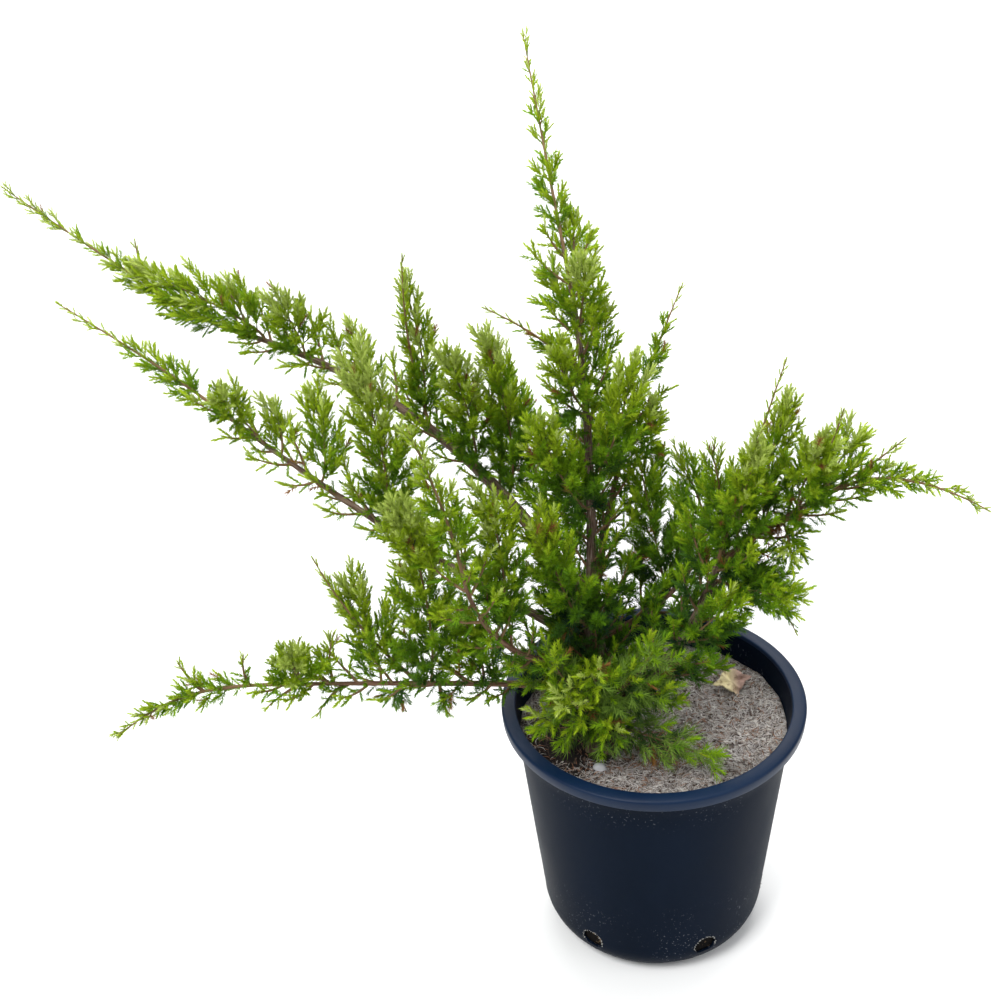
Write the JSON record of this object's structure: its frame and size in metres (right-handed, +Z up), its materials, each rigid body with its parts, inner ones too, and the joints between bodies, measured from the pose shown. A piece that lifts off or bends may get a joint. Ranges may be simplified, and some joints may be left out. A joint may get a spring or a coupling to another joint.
{
  "type": "spreading juniper in nursery pot",
  "caption": "Young spreading juniper with a leaning trunk, long tapering boughs and feathery plumes of needles, in a round tapered plastic nursery pot filled with potting mix.",
  "frame": {"origin": "middle of the pot's flat underside, on the floor that the pot stands on", "axes": "+Z up, +X along the plant's longest spread, towards the shorter side boughs, and the long boughs reach out to -X; the side that the plant faces a viewer with looks to -Y"},
  "size_m": [0.8227, 0.4296, 0.8099],
  "materials": {
    "pot_plastic": "near-black blow-moulded polyethylene with a soft sheen and pale scuffs",
    "potting_mix": "dry, fibrous bark and peat mix",
    "bark": "grey-brown bark that flakes in thin strips",
    "foliage": "matt yellow-green to deep green needles"
  },
  "bodies": {
    "root": {"pot": "pot_plastic", "soil": "potting_mix", "trunk": "bark", "bough_left_upper": "bark", "bough_left_middle": "bark", "bough_left_lower": "bark", "bough_front_left": "bark", "bough_centre": "bark", "bough_centre_right": "bark", "bough_right": "bark", "bough_right_arm": "bark", "bough_back_right": "bark", "bough_back": "bark", "foliage_left_upper_1": "foliage", "foliage_left_upper_2": "foliage", "foliage_left_upper_3": "foliage", "foliage_left_upper_4": "foliage", "foliage_left_upper_5": "foliage", "foliage_left_upper_6": "foliage", "foliage_left_upper_7": "foliage", "foliage_left_upper_8": "foliage", "foliage_left_middle_1": "foliage", "foliage_left_middle_2": "foliage", "foliage_left_middle_3": "foliage", "foliage_left_middle_4": "foliage", "foliage_left_middle_5": "foliage", "foliage_left_lower_1": "foliage", "foliage_left_lower_2": "foliage", "foliage_left_lower_3": "foliage", "foliage_left_lower_4": "foliage", "foliage_left_lower_5": "foliage", "foliage_front_left_1": "foliage", "foliage_front_left_2": "foliage", "foliage_centre_1": "foliage", "foliage_centre_2": "foliage", "foliage_centre_3": "foliage", "foliage_centre_4": "foliage", "foliage_centre_5": "foliage", "foliage_centre_6": "foliage", "foliage_centre_7": "foliage", "foliage_centre_8": "foliage", "foliage_centre_right_1": "foliage", "foliage_centre_right_2": "foliage", "foliage_right_1": "foliage", "foliage_right_2": "foliage", "foliage_right_3": "foliage", "foliage_right_arm_1": "foliage", "foliage_right_arm_2": "foliage", "foliage_right_arm_3": "foliage", "foliage_right_arm_4": "foliage", "foliage_right_arm_5": "foliage", "foliage_right_arm_6": "foliage", "foliage_back_right_1": "foliage", "foliage_back_right_2": "foliage", "foliage_back_1": "foliage", "foliage_back_2": "foliage", "foliage_trunk_1": "foliage", "foliage_trunk_2": "foliage", "foliage_trunk_3": "foliage", "foliage_trunk_4": "foliage"}
  },
  "joints": []
}
